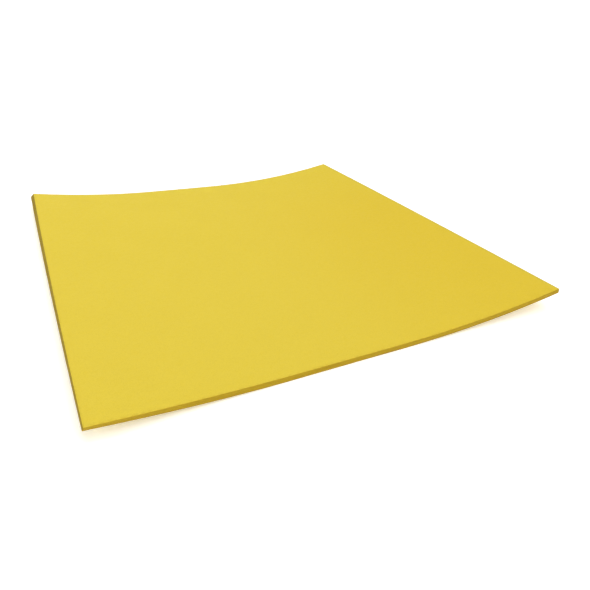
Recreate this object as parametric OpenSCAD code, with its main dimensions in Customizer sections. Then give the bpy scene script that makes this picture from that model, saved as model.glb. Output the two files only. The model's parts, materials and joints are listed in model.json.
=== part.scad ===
// Closed-cell foam sleeping pad: one plain sheet, lying face up with the curl that its
// storage roll has left in it. The sheet bends anywhere along its length, so it is
// divided into bend strips across its full width, which hinge on the lines where the
// top face runs from one strip to the next. Rolled up, the top face is inside.
// The sheet's length runs along X. Its outer end, at -X, is the end that lies on the
// outside of the roll, and its inner end, at +X, is the one that goes in first.

/* [Sheet] */
// Length of the sheet along its top face, in mm
pad_length = 1000; // [800:10:1200]
// Width of the sheet, in mm
pad_width = 1030; // [500:10:1200]
// Thickness of the foam, in mm
pad_thickness = 11; // [6:0.5:11.5]

/* [Curl at rest] */
// Where the level part of the sheet ends, in mm from the outer end. It starts at the floor strip
level_end = 560; // [400:10:700]
// How sharply the sheet is curled from the level part to its outer end, in degrees per metre
curl_outer = 24; // [0:1:60]
// How sharply it is curled from the level part to its inner end, in degrees per metre
curl_inner = 22; // [0:1:60]

/* [Roll] */
// Radius of the hollow in the middle of the roll, in mm
core_radius = 26; // [22:1:40]
// Distance from one layer of the roll to the next, in mm
roll_pitch = 12.5; // [12.5:0.5:16]

/* [Hidden] */
// Bend strips along the sheet, about 16 for each turn of the roll
strip_count = 54;
// Strips on the outer side of the floor strip: with these the floor strip is part of the
// roll's outermost turn, and the sheet's outer end stays clear of what the roll stands on
outer_count = 14;
inner_count = strip_count - outer_count - 1;
// Hairline between neighbouring strips, in mm
strip_gap = 0.1;
mm_per_metre = 1000;
foam_yellow = [0.90, 0.81, 0.28];

// Angle that the whole sheet turns through in the roll, and each strip's share of it
roll_turn = (sqrt(core_radius ^ 2 + roll_pitch * pad_length / PI) - core_radius) * 360 / roll_pitch;
strip_turn = roll_turn / strip_count;

// Strips are counted from 0 at the outer end. Each fills the same angle of the roll, so
// its length follows the radius at which it lies.
function strip_radius(i) = core_radius + roll_pitch * (strip_count - i - 0.5) * strip_turn / 360;
function strip_length(i) = strip_radius(i) * strip_turn * PI / 180;
strip_starts = [for (i = 0, s = 0; i < strip_count; s = s + strip_length(i), i = i + 1) s];

// Slope of the sheet, in degrees, at a distance s from its outer end: level in the middle,
// with both ends curled up by an even amount
level_start = strip_starts[outer_count];
function slope(s) =
    s < level_start ? curl_outer * (s - level_start) / mm_per_metre
    : s > level_end ? curl_inner * (s - level_end) / mm_per_metre
    : 0;

// Tilt of each strip
tilts = [for (i = [0:strip_count - 1]) slope(strip_starts[i] + strip_length(i) / 2)];

// Where the top face of each strip starts, as [x, z] from the sheet's outer end
knots = [for (i = 0, p = [0, 0]; i <= strip_count;
              p = i < strip_count ? p + strip_length(i) * [cos(tilts[i]), sin(tilts[i])] : p,
              i = i + 1) p];

// The sheet lies on its level part, with the middle of its outline at the origin
outer_reach = knots[0][0] + pad_thickness * sin(tilts[0]);
inner_reach = knots[strip_count][0] + pad_thickness * sin(tilts[strip_count - 1]);
middle_x = (outer_reach + inner_reach) / 2;
floor_z = knots[outer_count][1] - pad_thickness;

function two_digits(k) = k < 10 ? str("0", k) : str(k);
function outer_name(k) = str("outer_strip_", two_digits(k));
function inner_name(k) = str("inner_strip_", two_digits(k));

// One strip of foam. Only the sheet's two free ends have no hairline to leave.
module strip(i) {
    outer_gap = i == 0 ? 0 : strip_gap / 2;
    inner_gap = i == strip_count - 1 ? 0 : strip_gap / 2;
    color(foam_yellow)
        translate([knots[i][0] - middle_x, 0, knots[i][1] - floor_z])
        rotate([0, -tilts[i], 0])
        translate([outer_gap, -pad_width / 2, -pad_thickness])
        cube([strip_length(i) - outer_gap - inner_gap, pad_width, pad_thickness]);
}

// The first level strip, which the pad also rests on when it is rolled up
module floor_strip() {
    strip(outer_count);
}

// The k-th strip from the floor strip towards the outer end
module outer_strip(k) {
    strip(outer_count - k);
}

// The k-th strip from the floor strip towards the inner end
module inner_strip(k) {
    strip(outer_count + k);
}

floor_strip();
for (k = [1:outer_count]) outer_strip(k);
for (k = [1:inner_count]) inner_strip(k);
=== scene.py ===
import json
import math

import bmesh
import bpy
import numpy as np
from mathutils import Matrix, Vector


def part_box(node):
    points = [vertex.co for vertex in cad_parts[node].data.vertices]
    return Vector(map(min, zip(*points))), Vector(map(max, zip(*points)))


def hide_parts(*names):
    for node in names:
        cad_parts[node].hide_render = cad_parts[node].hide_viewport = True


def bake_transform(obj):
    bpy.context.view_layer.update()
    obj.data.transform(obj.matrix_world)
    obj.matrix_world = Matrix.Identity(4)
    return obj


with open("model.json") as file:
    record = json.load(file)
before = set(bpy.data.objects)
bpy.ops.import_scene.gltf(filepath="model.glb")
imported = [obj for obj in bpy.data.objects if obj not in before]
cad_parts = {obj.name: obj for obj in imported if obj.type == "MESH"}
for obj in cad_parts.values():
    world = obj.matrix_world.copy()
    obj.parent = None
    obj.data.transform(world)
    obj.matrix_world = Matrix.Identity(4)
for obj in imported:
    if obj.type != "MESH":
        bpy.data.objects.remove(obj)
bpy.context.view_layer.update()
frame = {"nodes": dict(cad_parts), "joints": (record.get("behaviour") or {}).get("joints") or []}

# ---- camera -------------------------------------------------------------------------------

LENS_MM, SENSOR_MM = 30.293, 36.0
CAMERA_AT = (-0.49425, -1.08302, 0.53604)
CAMERA_RIGHT = (0.884405, -0.462566, 0.062130)
CAMERA_DOWN = (-0.178975, -0.459072, -0.870184)
CAMERA_AHEAD = (0.431040, 0.758476, -0.488793)


def add_camera():
    data = bpy.data.cameras.new("camera")
    data.lens, data.sensor_width = LENS_MM, SENSOR_MM
    camera = bpy.data.objects.new("camera", data)
    axes = Matrix((CAMERA_RIGHT, -Vector(CAMERA_DOWN), -Vector(CAMERA_AHEAD))).transposed()
    camera.matrix_world = Matrix.Translation(CAMERA_AT) @ axes.to_4x4()
    bpy.context.scene.collection.objects.link(camera)
    bpy.context.scene.camera = camera


add_camera()

# ---- the sheet's shape at rest ------------------------------------------------------------

strips = sorted(frame["nodes"], key=lambda n: sum(corner.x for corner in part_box(n)))
joints = sorted(frame["joints"], key=lambda j: j["pos_m"][0])
low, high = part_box("floor_strip")
WIDTH, THICKNESS = high.y - low.y, high.z - low.z


def free_corner(node):
    """Where the top face ends on an end strip: its highest point, because both ends lift."""
    at = max((v.co for v in frame["nodes"][node].data.vertices), key=lambda co: co.z)
    return at.x, at.z


hinges = [(j["pos_m"][0], j["pos_m"][2]) for j in joints]
knots = np.array([free_corner(strips[0]), *hinges, free_corner(strips[-1])])
steps = np.diff(knots, axis=0)
lengths = np.hypot(*steps.T)
tilts = np.arctan2(steps[:, 1], steps[:, 0])
starts = np.concatenate([[0], np.cumsum(lengths)])
middles = (starts[1:] + starts[:-1]) / 2
LENGTH = starts[-1]

# The top face as a smooth curve: its slope goes evenly from each strip's middle to the next
curve_s = np.linspace(0, LENGTH, 4001)
curve_tilt = np.interp(curve_s, middles, tilts)


def running_sum(rate):
    area = (rate[1:] + rate[:-1]) / 2 * np.diff(curve_s)
    return np.concatenate([[0], np.cumsum(area)])


curve_x, curve_z = running_sum(np.cos(curve_tilt)), running_sum(np.sin(curve_tilt))
curve_x += np.mean(knots[:, 0] - np.interp(starts, curve_s, curve_x))
curve_z += np.mean(knots[:, 1] - np.interp(starts, curve_s, curve_z))

# How the real sheet differs from an even curl. The outer end's front corner hangs lower, and
# the inner end's back corner stands higher. Each runs out at a fraction of the length.
CORNER_DROP, DROP_END = 0.0012, 0.36
CORNER_LIFT, LIFT_START = 0.010, 0.45
# The long edges draw in towards the middle, and the ends bulge
WAIST = 0.004
OUTER_BOW, INNER_BOW = 0.0024, 0.0029
# The outer end's cut, as how far the sheet falls short there: on its top face at the front,
# and what is added to that at the back, and the same on its underside
TOP_CUT, UNDER_CUT = (0.0079, -0.0012), (0.0072, -0.0080)
CUT_REACH = 0.020
# The front edge flares out towards the outer end, on the top face and on the underside
TOP_FLARE, UNDER_FLARE = 0.0095, 0.0032
FLARE_REACH = 0.30
# The top face isn't quite even, and the blade wandered a little
UNEVENNESS = 0.00010
CUT_WANDER, WANDER_REACH = 0.00012, 0.008


def waves(p, q):
    """A gentle unevenness between -1 and 1."""
    total = np.sin(41 * p + 9 * q + 1.3) + np.sin(-17 * p + 33 * q + 4.1)
    total += 0.7 * np.sin(73 * p - 49 * q + 0.4) + 0.5 * np.sin(108 * p + 91 * q + 2.2)
    return total / 3.2


def place(s, across, depth):
    """Where a bit of the foam lies: s from the outer end along the top face, across from the
    middle of the sheet, and depth below the top face."""
    # Fractions of the way to the inner end, the back edge and the underside
    u, back, down = s / LENGTH, across / WIDTH + 0.5, depth / THICKNESS
    rise = CORNER_LIFT * back * np.clip((u - LIFT_START) / (1 - LIFT_START), 0, 1) ** 2
    rise -= CORNER_DROP * (1 - back) * np.clip((DROP_END - u) / DROP_END, 0, 1) ** 2
    rise += UNEVENNESS * waves(s, across) * (1 - down)

    bow = 4 * back * (1 - back)
    along = bow * (INNER_BOW * u**8 - OUTER_BOW * (1 - u) ** 8)
    top_cut, under_cut = (at_front + more * back for at_front, more in (TOP_CUT, UNDER_CUT))
    along += np.clip(1 - s / CUT_REACH, 0, 1) * (top_cut + down * (under_cut - top_cut))
    near_end = np.clip(1 - np.minimum(s, LENGTH - s) / WANDER_REACH, 0, 1)
    along += CUT_WANDER * near_end * waves(3.1 * across, 40 * depth + 5 * u)

    y = across + WAIST * 4 * u * (1 - u) * (1 - 2 * back)
    flare = TOP_FLARE + down * (UNDER_FLARE - TOP_FLARE)
    y -= flare * np.clip(1 - 2 * back, 0, 1) * np.clip(1 - u / FLARE_REACH, 0, 1) ** 2
    near_side = np.clip(1 - (WIDTH / 2 - abs(across)) / WANDER_REACH, 0, 1)
    y += CUT_WANDER * near_side * waves(2.7 * s, 40 * depth + 7 * back)

    tilt = np.interp(s, curve_s, curve_tilt)
    x = np.interp(s, curve_s, curve_x) + along * np.cos(tilt) - (rise - depth) * np.sin(tilt)
    z = np.interp(s, curve_s, curve_z) + along * np.sin(tilt) + (rise - depth) * np.cos(tilt)
    return np.stack([x, y, z], -1)


# ---- the sheet's mesh ---------------------------------------------------------------------

ACROSS_STEPS = 56
SIDE_STEPS = 4
ARC_STEPS = 3
EDGE_RADIUS = 0.0007
STATION, FEWEST_STEPS = 0.003, 6
# Each piece has a tongue inside the next one, which closes the seam when the sheet bends
TONGUE_INSET = 0.00012
TONGUE_LENGTH = 0.005


def section(inset):
    """One loop round the sheet's section, as (across, depth): along the top from front to
    back, down the back edge, along the underside, and up the front edge."""
    half = WIDTH / 2 - inset
    top, bottom = inset, THICKNESS - inset
    r = max(EDGE_RADIUS - inset, 0.0001)
    run = np.linspace(-(half - r), half - r, ACROSS_STEPS + 1)
    fall = np.linspace(top + r, bottom - r, SIDE_STEPS + 1)
    turn = np.linspace(0, math.pi / 2, ARC_STEPS + 1)[1:-1]
    loop = [(a, top) for a in run]
    loop += [(half - r + r * math.sin(t), top + r - r * math.cos(t)) for t in turn]
    loop += [(half, d) for d in fall]
    loop += [(half - r + r * math.cos(t), bottom - r + r * math.sin(t)) for t in turn]
    loop += [(a, bottom) for a in run[::-1]]
    loop += [(-half + r - r * math.sin(t), bottom - r + r * math.cos(t)) for t in turn]
    loop += [(-half, d) for d in fall[::-1]]
    loop += [(-half + r - r * math.cos(t), top + r - r * math.sin(t)) for t in turn]
    return np.array(loop)


LOOP = len(section(0))
FIRST_BOTTOM = ACROSS_STEPS + 1 + 2 * (ARC_STEPS - 1) + SIDE_STEPS + 1


def cap_faces():
    """The faces that close a loop, turned towards the outer end."""
    faces = []
    for i in range(ACROSS_STEPS):
        below = FIRST_BOTTOM + ACROSS_STEPS - i
        faces.append((i, i + 1, below - 1, below))
    faces.append(tuple(range(ACROSS_STEPS, FIRST_BOTTOM + 1)))
    faces.append((*range(FIRST_BOTTOM + ACROSS_STEPS, LOOP), 0))
    return faces


def free_end():
    """The rounding of a free end's edges, as (distance from the end, inset)."""
    turn = np.linspace(0, math.pi / 2, ARC_STEPS + 1)
    return [(EDGE_RADIUS * (1 - math.cos(t)), EDGE_RADIUS * (1 - math.sin(t))) for t in turn]


def stations(k):
    """Where piece k's loops lie, as (s, inset), and the numbers of the sharp ones."""
    first, last = k == 0, k == len(joints) - 1
    begin = EDGE_RADIUS if first else middles[k]
    end = LENGTH - EDGE_RADIUS if last else middles[k + 1]
    count = max(FEWEST_STEPS, round((end - begin) / STATION))
    rings = [(s, 0.0) for s in np.linspace(begin, end, count + 1)]
    if first:
        rings = free_end()[:-1] + rings
    if last:
        rings += [(LENGTH - e, inset) for e, inset in free_end()[-2::-1]]
        return rings, {0}
    seam = len(rings) - 1
    tongue = min(TONGUE_LENGTH, 0.55 * lengths[k + 1] / 2)
    rings += [(end + t, TONGUE_INSET) for t in (0, tongue / 2, tongue)]
    sharp = {seam, seam + 1, seam + 3}
    return rings, sharp if first else sharp | {0}


def build_piece(k):
    rings, sharp = stations(k)
    foam_at = np.concatenate(
        [np.column_stack([np.full(LOOP, s), section(inset)]) for s, inset in rings]
    )
    points = place(*foam_at.T)
    faces = cap_faces()
    for r in range(len(rings) - 1):
        for i in range(LOOP):
            a, b = r * LOOP + i, r * LOOP + (i + 1) % LOOP
            faces.append((a, a + LOOP, b + LOOP, b))
    end = (len(rings) - 1) * LOOP
    faces += [tuple(end + i for i in reversed(c)) for c in cap_faces()]
    name = "foam_" + joints[k]["name"]
    mesh = bpy.data.meshes.new(name)
    mesh.from_pydata(points.tolist(), [], faces)
    mesh.polygons.foreach_set("use_smooth", [True] * len(mesh.polygons))
    attribute = mesh.attributes.new("foam_at", "FLOAT_VECTOR", "POINT")
    attribute.data.foreach_set("vector", foam_at.astype(np.float32).ravel())
    bm = bmesh.new()
    bm.from_mesh(mesh)
    for edge in bm.edges:
        ring = {v.index // LOOP for v in edge.verts}
        if len(ring) == 1 and ring <= sharp:
            edge.smooth = False
    bm.to_mesh(mesh)
    bm.free()
    piece = bpy.data.objects.new(name, mesh)
    bpy.context.scene.collection.objects.link(piece)
    return piece


# ---- materials ----------------------------------------------------------------------------


class Nodes:
    """Shorthand for building a material's nodes."""

    def __init__(self, name):
        self.material = bpy.data.materials.new(name)
        self.material.use_nodes = True
        self.tree = self.material.node_tree
        self.tree.nodes.clear()

    def add(self, kind, inputs=None, **settings):
        node = self.tree.nodes.new("ShaderNode" + kind)
        for key, value in settings.items():
            setattr(node, key, value)
        for key, value in (inputs or {}).items():
            if isinstance(value, bpy.types.NodeSocket):
                self.tree.links.new(value, node.inputs[key])
            else:
                node.inputs[key].default_value = value
        return node

    def math(self, operation, *values):
        inputs = dict(enumerate(values))
        return self.add("Math", inputs, operation=operation).outputs[0]

    def ramp(self, value, low, high, to_low=0.0, to_high=1.0):
        """Goes smoothly from to_low to to_high as value goes from low to high."""
        inputs = {
            "Value": value,
            "From Min": low,
            "From Max": high,
            "To Min": to_low,
            "To Max": to_high,
        }
        node = self.add("MapRange", inputs, interpolation_type="SMOOTHSTEP")
        return node.outputs["Result"]

    def mix(self, factor, a, b, blend="MIX"):
        node = self.add("Mix", data_type="RGBA", blend_type=blend)
        for index, value in ((0, factor), (6, a), (7, b)):
            if isinstance(value, bpy.types.NodeSocket):
                self.tree.links.new(value, node.inputs[index])
            else:
                node.inputs[index].default_value = value
        return node.outputs[2]

    def noise(self, vector, scale, detail=2.0, roughness=0.5):
        inputs = {"Vector": vector, "Scale": scale, "Detail": detail, "Roughness": roughness}
        return self.add("TexNoise", inputs).outputs["Fac"]

    def cells(self, vector, scale):
        return self.add("TexVoronoi", {"Vector": vector, "Scale": scale}).outputs["Distance"]

    def bump(self, height, distance, normal=None):
        inputs = {"Height": height, "Distance": distance, "Strength": 1.0}
        if normal is not None:
            inputs["Normal"] = normal
        return self.add("Bump", inputs).outputs["Normal"]


SKIN = (0.660, 0.503, 0.0305, 1)
SKIN_PALE = (0.672, 0.515, 0.0335, 1)
SKIN_FRONT = (0.666, 0.509, 0.0435, 1)
SKIN_WARM = (0.664, 0.476, 0.0235, 1)
# The cut faces' colour: partly the cut foam's own darker tone, partly painted shade of the
# sheet's sides
CUT_FACE_AND_SHADE = (0.388, 0.248, 0.0118, 1)
CELL_SHADE = (0.86, 0.84, 0.78, 1)
# Painted shade for the outer end's face
PAINTED_END_SHADE = (0.62, 0.66, 0.85, 1)
# Painted shade for the back edge and the inner end
PAINTED_EDGE_SHADE = (0.50, 0.42, 0.05, 1)
# How far from the sheet's outline the skin gives way to the cut face, from and to
CUT_EDGE = (0.0002, 0.0007)


def foam_material():
    n = Nodes("closed_cell_foam")
    at = n.add("Attribute", attribute_name="foam_at").outputs["Vector"]
    s, across, _ = n.add("SeparateXYZ", {0: at}).outputs
    to_inner_end = n.math("SUBTRACT", LENGTH, s)
    to_back = n.math("SUBTRACT", WIDTH / 2, across)
    to_side = n.math("SUBTRACT", WIDTH / 2, n.math("ABSOLUTE", across))
    to_edge = n.math("MINIMUM", n.math("MINIMUM", s, to_inner_end), to_side)
    cut = n.ramp(to_edge, *CUT_EDGE, 1, 0)
    outer_end_cut = n.ramp(s, *CUT_EDGE, 1, 0)

    # Skin: cloudy mottling, a softer tone towards the front and a warmer one towards the inner
    # end's front corner, and fine closed cells
    clouds = n.noise(at, 6.5, 3, 0.55)
    flecks = n.noise(at, 95, 4, 0.6)
    colour = n.mix(n.ramp(clouds, 0.35, 0.66), SKIN, SKIN_PALE)
    colour = n.mix(n.ramp(across, -0.5, 0.5, 1, 0), colour, SKIN_FRONT)
    warmth = n.math(
        "MULTIPLY", n.ramp(s, 0.30, 0.98, 0, 0.85), n.ramp(across, 0, 0.5, 1, 0.3)
    )
    colour = n.mix(warmth, colour, SKIN_WARM)
    colour = n.mix(n.ramp(flecks, 0.48, 0.75, 0, 0.16), colour, SKIN_WARM)
    fine = n.cells(at, 820)
    colour = n.mix(n.ramp(fine, 0.35, 0.75, 0, 0.45), colour, CELL_SHADE, "MULTIPLY")

    # Painted shade: the back edge and the inner end are darkened for the last centimetre
    painted_edge_shade = n.ramp(n.math("MINIMUM", to_back, to_inner_end), 0.001, 0.010, 0.5, 0)
    colour = n.mix(painted_edge_shade, colour, PAINTED_EDGE_SHADE)

    # Handled edges: worn in patches for a few millimetres in from the cut
    patches = n.ramp(n.noise(at, 140, 3), 0.38, 0.66)
    wear = n.math("MULTIPLY", n.ramp(to_edge, 0.0006, 0.006, 1, 0), patches)
    # Worn patches take the cut faces' colour, painted shade included
    colour = n.mix(n.math("MULTIPLY", wear, 0.35), colour, CUT_FACE_AND_SHADE)

    # Cut faces: open cells and faint knife lines, and painted shade that darkens the outer end's
    # face
    torn = n.cells(at, 560)
    torn_fine = n.cells(at, 1500)
    stretched = n.add("Mapping", {"Vector": at, "Scale": (18, 18, 1500)}).outputs[0]
    lines = n.noise(stretched, 1.0, 2)
    # The cut faces' colour holds painted shade of the sheet's sides
    cut_face_and_shade_colour = n.mix(n.ramp(torn, 0.30, 0.70, 0, 0.75), CUT_FACE_AND_SHADE, CELL_SHADE, "MULTIPLY")
    cut_face_and_shade_colour = n.mix(n.ramp(lines, 0.42, 0.62, 0, 0.20), cut_face_and_shade_colour, SKIN)
    # Painted shade: the outer end's face darkened as if it were out of the light
    painted_end_shade = n.math("MULTIPLY", outer_end_cut, 0.8)
    cut_face_and_shade_colour = n.mix(painted_end_shade, cut_face_and_shade_colour, PAINTED_END_SHADE, "MULTIPLY")
    colour = n.mix(cut, colour, cut_face_and_shade_colour)

    skin_roughness = n.ramp(flecks, 0.3, 0.7, 0.60, 0.72)
    roughness = n.math("ADD", skin_roughness, n.math("MULTIPLY", cut, 0.2))
    dents = n.bump(n.noise(at, 34, 3, 0.5), 0.00035)
    grain = n.bump(n.noise(at, 520, 3, 0.6), 0.0001, dents)
    skin_normal = n.bump(fine, 0.00012, grain)
    cut_normal = n.bump(n.math("ADD", torn, n.math("MULTIPLY", torn_fine, 0.4)), 0.00035)
    cut_normal = n.bump(lines, 0.0001, cut_normal)
    normal = n.add("Mix", data_type="VECTOR")
    for index, socket in ((0, cut), (4, skin_normal), (5, cut_normal)):
        n.tree.links.new(socket, normal.inputs[index])
    shader = n.add(
        "BsdfPrincipled",
        {"Base Color": colour, "Roughness": roughness, "Normal": normal.outputs[1]},
    )
    shader.inputs["IOR"].default_value = 1.45
    shader.inputs["Specular IOR Level"].default_value = 0.15
    n.add("OutputMaterial", {"Surface": shader.outputs[0]})
    return n.material


def floor_material():
    n = Nodes("pale_floor")
    at = n.add("NewGeometry").outputs["Position"]
    tone = n.ramp(n.noise(at, 1.2, 2), 0.3, 0.7, 0, 1)
    colour = n.mix(tone, (0.93, 0.93, 0.93, 1), (0.95, 0.95, 0.95, 1))
    shader = n.add("BsdfPrincipled", {"Base Color": colour})
    shader.inputs["Roughness"].default_value = 0.85
    shader.inputs["Specular IOR Level"].default_value = 0.1
    shader.inputs["Emission Color"].default_value = (1, 1, 1, 1)
    shader.inputs["Emission Strength"].default_value = 0.25
    n.add("OutputMaterial", {"Surface": shader.outputs[0]})
    return n.material


# ---- the pieces ---------------------------------------------------------------------------

foam = foam_material()
for k, joint in enumerate(joints):
    piece = build_piece(k)
    piece.data.materials.append(foam)
    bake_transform(piece)
    last = k == len(joints) - 1
    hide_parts(*(strips[k : k + 2] if last else strips[k : k + 1]))

# ---- floor and light ----------------------------------------------------------------------


def add_floor():
    """A level floor that curves up all round, so that no horizon shows from any side."""
    flat, wall, sides = 4.0, 3.0, 96
    turn = np.linspace(0, math.pi / 2, 13)
    profile = [(flat + wall * math.sin(t), wall * (1 - math.cos(t))) for t in turn]
    profile.append((flat + wall, 6.0))
    points, faces = [(0, 0, 0)], []
    for r, z in profile:
        for i in range(sides):
            a = 2 * math.pi * i / sides
            points.append((r * math.cos(a), r * math.sin(a), z))
    for i in range(sides):
        j = (i + 1) % sides
        faces.append((0, 1 + i, 1 + j))
        for ring in range(len(profile) - 1):
            a, b = 1 + ring * sides, 1 + (ring + 1) * sides
            faces.append((a + i, b + i, b + j, a + j))
    mesh = bpy.data.meshes.new("floor")
    mesh.from_pydata(points, [], faces)
    mesh.polygons.foreach_set("use_smooth", [True] * len(mesh.polygons))
    mesh.materials.append(floor_material())
    floor = bpy.data.objects.new("floor", mesh)
    bpy.context.scene.collection.objects.link(floor)


def add_sky_light(name, towards, strength, spread):
    """Even light from a patch of sky, spread degrees wide, in the direction towards."""
    data = bpy.data.lights.new(name, "SUN")
    data.energy, data.angle = strength, math.radians(spread)
    lamp = bpy.data.objects.new(name, data)
    lamp.rotation_euler = Vector(towards).to_track_quat("Z", "Y").to_euler()
    bpy.context.scene.collection.objects.link(lamp)


add_floor()
add_sky_light("overhead", towards=(0.5, -0.2, 1), strength=1.94, spread=80)

world = bpy.data.worlds.new("studio")
world.use_nodes = True
world.node_tree.nodes["Background"].inputs["Color"].default_value = (1, 1, 1, 1)
world.node_tree.nodes["Background"].inputs["Strength"].default_value = 0.42
bpy.context.scene.world = world
bpy.context.scene.view_settings.view_transform = "Standard"
